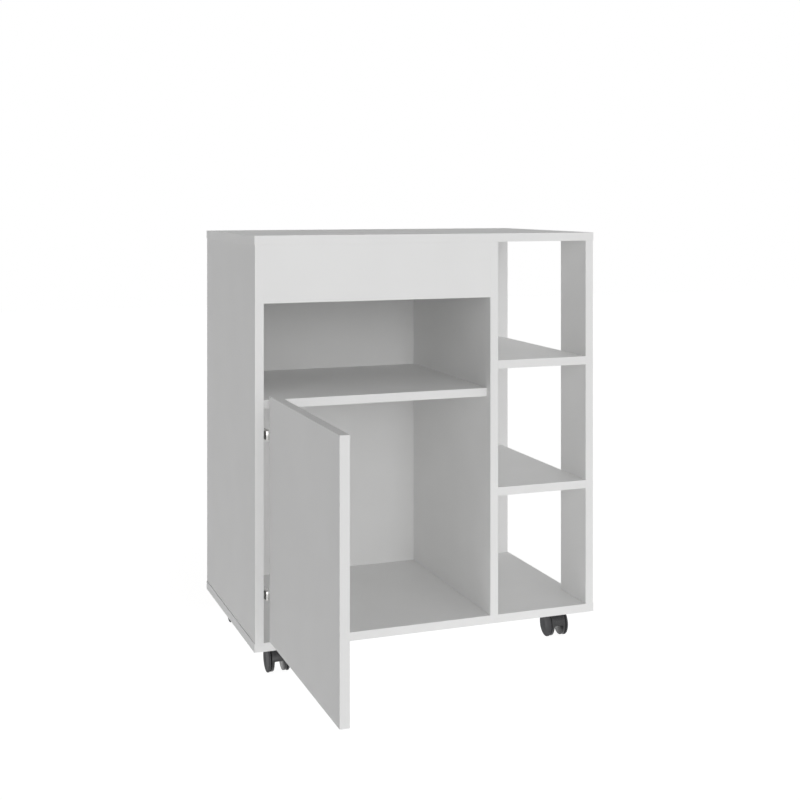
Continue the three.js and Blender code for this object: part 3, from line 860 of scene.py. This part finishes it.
class CART_OT_casters(bpy.types.Operator):
    """Build the twin-wheel casters: plates, moulded bodies, axles and wheels."""

    bl_idname = "cart.casters"
    bl_label = "Casters"

    MODEL = f"{CORNERS[0]}_caster"  # the caster whose shapes the others repeat
    WHEEL_STEPS = 96
    PIN_STEPS = 64
    PLATE_EDGE = 0.3 * MM

    TUNNEL_WIDTH = 17.7 * MM  # the way through the body, under the axle
    TUNNEL_CORNER = 1.7 * MM
    TUNNEL_TOP = -0.3 * MM  # from the axle
    BOSS_RADIUS = 6.2 * MM
    BOSS_SINK = 0.5 * MM  # how far the boss runs into the body's cheeks
    NECK_RADIUS = 7.5 * MM
    NECK_FOOT = 10 * MM  # over the axle

    HUB_RADIUS = 6 * MM
    HUB_HEIGHT = 1.5 * MM  # how far the hub stands out of the wheel's inner face
    HUB_CAP = 4.8 * MM  # radius of the sunk disc in the middle of the outer face
    HUB_CAP_SLOPE = 0.25 * MM
    HUB_CAP_SINK = 0.15 * MM
    AXLE_BORE = 3.1 * MM
    AXLE_BORE_DEPTH = 1.8 * MM  # beyond the wheel's inner face
    SHOULDER = (2.8 * MM, 1.1 * MM)  # rounding of the rim, inwards and outwards

    def execute(self, context):
        settings = context.scene.cart_casters
        body = self.body(settings.edge)
        wheels = {hand: self.wheel(hand, settings.edge) for hand in HANDS}
        for corner in CORNERS:
            caster = f"{corner}_caster"
            softened_copy(f"{caster}_plate", f"{caster}_plate_pressing", "black_paint",
                          "carcass", self.PLATE_EDGE)
            dress(f"{caster}_axle", "zinc_plate")
            self.place(body, caster, f"{caster}_hood", "moulding", caster, "body_plastic",
                       "black_plastic")
            for hand, wheel in wheels.items():
                node = f"{caster}_wheel_{hand}"
                self.place(wheel, caster, node, "turning", node, "wheel_plastic",
                           "wheel_plastic")
        return {"FINISHED"}

    @staticmethod
    def place(shape, caster, node, kind, body, finish, slot):
        """A copy of a shape drawn round an axle's middle, moved to a caster's own axle."""
        mesh = shape.copy()
        mesh.transform(Matrix.Translation(middle(f"{caster}_axle")))
        piece(f"{node}_{kind}", mesh, [finish], body, [node])

    def body(self, edge):
        """A drum round the axle with a way through below and a collar round the king pin."""
        centre = middle(f"{self.MODEL}_axle")
        low, high = (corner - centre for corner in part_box(f"{self.MODEL}_hood"))
        radius = -low.y
        side = [(0, low.x)] + fillet((radius - edge, low.x + edge), edge, -90, 0)
        profile = side + [(r, -x) for r, x in reversed(side)]
        drum = turned(bmesh.new(), profile, Vector(), X_AXIS, self.WHEEL_STEPS)

        inner, round_off = self.TUNNEL_WIDTH / 2, self.TUNNEL_CORNER
        corner = self.TUNNEL_TOP - round_off
        outline = [(inner, low.z - MM)]
        outline += fillet((inner - round_off, corner), round_off, 0, 90, 6)
        outline += fillet((round_off - inner, corner), round_off, 90, 180, 6)
        outline += [(-inner, low.z - MM)]
        tunnel = prism(outline, -2 * radius, 2 * radius, lambda x, z, y: (x, y, z))

        reach = inner + self.BOSS_SINK
        boss = self.pin(self.BOSS_RADIUS, -reach, reach, Vector(), X_AXIS)
        pin_y = middle(f"{self.MODEL}_plate").y - centre.y
        neck = self.pin(self.NECK_RADIUS, self.NECK_FOOT, high.z, Vector((0, pin_y, 0)), Z_AXIS)
        steps = (("DIFFERENCE", tunnel), ("UNION", boss), ("UNION", neck))
        return softened(combined(drum, "caster_body", *steps), "caster_body", edge / 2)

    def pin(self, radius, start, end, centre, axis):
        """A plain cylinder."""
        profile = [(0, start), (radius, start), (radius, end), (0, end)]
        return turned(bmesh.new(), profile, centre, axis, self.PIN_STEPS)

    def wheel(self, hand, edge):
        """A thin wheel with a hub inside and a rounded shoulder outside."""
        centre = middle(f"{self.MODEL}_axle")
        low, high = (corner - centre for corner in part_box(f"{self.MODEL}_wheel_{hand}"))
        outwards = 1 if hand == "right" else -1
        hub, face = sorted((low.x * outwards, high.x * outwards))
        rim, radius = hub + self.HUB_HEIGHT, high.z
        bore, bore_end = self.AXLE_BORE, rim + self.AXLE_BORE_DEPTH
        inward, outward = self.SHOULDER
        profile = [(0, bore_end), (bore, bore_end), (bore, hub)]
        profile += fillet((self.HUB_RADIUS - edge / 2, hub + edge / 2), edge / 2, -90, 0)
        profile += fillet((self.HUB_RADIUS + edge, rim - edge), edge, 180, 90, 3)
        profile += fillet((radius - edge, rim + edge), edge, -90, 0)
        for angle in map(math.radians, range(0, 91, 10)):
            profile.append((radius - inward + inward * math.cos(angle),
                            face - outward + outward * math.sin(angle)))
        sunk = face - self.HUB_CAP_SINK
        profile += [(self.HUB_CAP + self.HUB_CAP_SLOPE, face), (self.HUB_CAP, sunk), (0, sunk)]
        work = turned(bmesh.new(), profile, Vector(), X_AXIS * outwards, self.WHEEL_STEPS)
        bmesh.ops.recalc_face_normals(work, faces=work.faces[:])
        return mesh_from(work, f"caster_wheel_{hand}", sharp_over=40)


class CART_OT_stage(bpy.types.Operator):
    """Build the white studio: floor, world, lamps and the camera."""

    bl_idname = "cart.stage"
    bl_label = "Studio"

    FLOOR_REACH = 8.0  # metres from the middle to each side
    FLOOR_GREY = 0.8  # what the floor throws back at the cart
    SEEN_GREY = 0.22  # what takes the cart's shadow where the floor is seen
    SEEN_GLOW = 0.95  # what makes the seen floor white
    SENSOR_WIDTH = 36.0  # millimetres
    SIGHT = 50.0  # metres that the camera sees
    # degrees from the front to the left, degrees high, and degrees wide as the cart sees it
    LAMPS = {
        "front": (0, 8, 18),
        "left": (25, 8, 50),
        "high": (0, 42, 50),
        "right": (-60, 5, 120),
    }

    def execute(self, context):
        for name in ("Cube", "Light", "Camera"):
            stray = bpy.data.objects.get(name)
            if stray:
                bpy.data.objects.remove(stray)
        settings = context.scene.cart_stage
        self.floor(settings)
        self.world(context.scene, settings)
        self.lamps(settings)
        self.camera(context.scene, settings)
        context.scene.view_settings.view_transform = "Standard"
        return {"FINISHED"}

    @staticmethod
    def shown(nodes, lit, seen, output):
        """One shader for light, and another for camera rays, mirrors and clear material."""
        path = nodes.add("ShaderNodeLightPath").outputs
        straight = path["Is Camera Ray"]
        for name in ("Is Glossy Ray", "Is Transmission Ray"):
            either = nodes.add(
                "ShaderNodeMath", straight, path[name], settings={"operation": "MAXIMUM"},
            )
            straight = either.outputs[0]
        choice = nodes.add("ShaderNodeMixShader", straight, lit, seen)
        nodes.add(output, Surface=choice.outputs[0])

    @staticmethod
    def paper(nodes, grey, glow):
        """A matt grey surface that gives off light."""
        matt = nodes.add("ShaderNodeBsdfDiffuse", Color=(grey, grey, grey, 1))
        light = nodes.add("ShaderNodeEmission", Strength=glow)
        return nodes.add("ShaderNodeAddShader", matt.outputs[0], light.outputs[0]).outputs[0]

    def floor(self, settings):
        """Pale floor: white to the eye, with the cart's shadow left faintly in it."""
        half = self.FLOOR_REACH
        mesh = bpy.data.meshes.new("studio_floor")
        corners = [(-half, -half, 0), (half, -half, 0), (half, half, 0), (-half, half, 0)]
        mesh.from_pydata(corners, [], [(0, 1, 2, 3)])
        floor = linked("studio_floor", mesh)
        material = bpy.data.materials.new("studio_floor")
        material.use_nodes = True
        nodes = Nodes(material.node_tree)
        nodes.tree.nodes.clear()
        lit = self.paper(nodes, self.FLOOR_GREY, settings.floor_light)
        seen = self.paper(nodes, self.SEEN_GREY, self.SEEN_GLOW)
        self.shown(nodes, lit, seen, "ShaderNodeOutputMaterial")
        mesh.materials.append(material)

    def world(self, scene, settings):
        """White where it is seen, and an even ambient light where it lights."""
        scene.world = bpy.data.worlds.new("studio")
        scene.world.use_nodes = True
        nodes = Nodes(scene.world.node_tree)
        nodes.tree.nodes.clear()
        lit, seen = (
            nodes.add("ShaderNodeBackground", Color=(1, 1, 1, 1), Strength=strength).outputs[0]
            for strength in (settings.ambient, 1.0)
        )
        self.shown(nodes, lit, seen, "ShaderNodeOutputWorld")

    def lamps(self, settings):
        """Soft far lamps round the front of the cart."""
        for place, (to_the_left, height, width) in self.LAMPS.items():
            data = bpy.data.lights.new(f"{place}_lamp", "SUN")
            data.angle = math.radians(width)
            data.energy = getattr(settings, f"{place}_light")
            lamp = linked(f"{place}_lamp", data)
            lamp.rotation_euler = (math.radians(90 - height), 0, -math.radians(to_the_left))

    def camera(self, scene, settings):
        """Level camera with the lens shifted down and sideways."""
        data = bpy.data.cameras.new("camera")
        data.sensor_width = self.SENSOR_WIDTH
        data.lens = settings.focal_length
        data.shift_x, data.shift_y = settings.shift
        data.clip_end = self.SIGHT
        camera = linked("camera", data)
        camera.location = settings.camera_place
        camera.rotation_euler = (math.pi / 2, 0, -settings.camera_heading)
        scene.camera = camera


# ------------------------------------------------------------------ panel and registration
OPERATORS = (
    CART_OT_boards, CART_OT_back, CART_OT_door, CART_OT_hinges, CART_OT_fasteners,
    CART_OT_casters, CART_OT_stage,
)
SETTINGS = {
    "cart_boards": CartBoardSettings,
    "cart_metal": CartMetalSettings,
    "cart_casters": CartCasterSettings,
    "cart_stage": CartStageSettings,
}


class CART_PT_sidebar(bpy.types.Panel):
    """Lists the cart's settings and building steps."""

    bl_label = "Microwave Cart"
    bl_idname = "CART_PT_sidebar"
    bl_space_type = "VIEW_3D"
    bl_region_type = "UI"
    bl_category = "Cart"

    def draw(self, context):
        layout = self.layout
        for name, kind in SETTINGS.items():
            box = layout.box()
            for label in kind.__annotations__:
                box.prop(getattr(context.scene, name), label)
        for operator in OPERATORS:
            layout.operator(operator.bl_idname)


def register():
    for kind in (*SETTINGS.values(), *OPERATORS, CART_PT_sidebar):
        bpy.utils.register_class(kind)
    for name, kind in SETTINGS.items():
        setattr(bpy.types.Scene, name, PointerProperty(type=kind))


def unregister():
    for name in SETTINGS:
        delattr(bpy.types.Scene, name)
    for kind in (CART_PT_sidebar, *reversed(OPERATORS), *reversed(SETTINGS.values())):
        bpy.utils.unregister_class(kind)


def main():
    register()
    for operator in OPERATORS:
        group, name = operator.bl_idname.split(".")
        getattr(getattr(bpy.ops, group), name)()


if __name__ == "__main__":
    main()
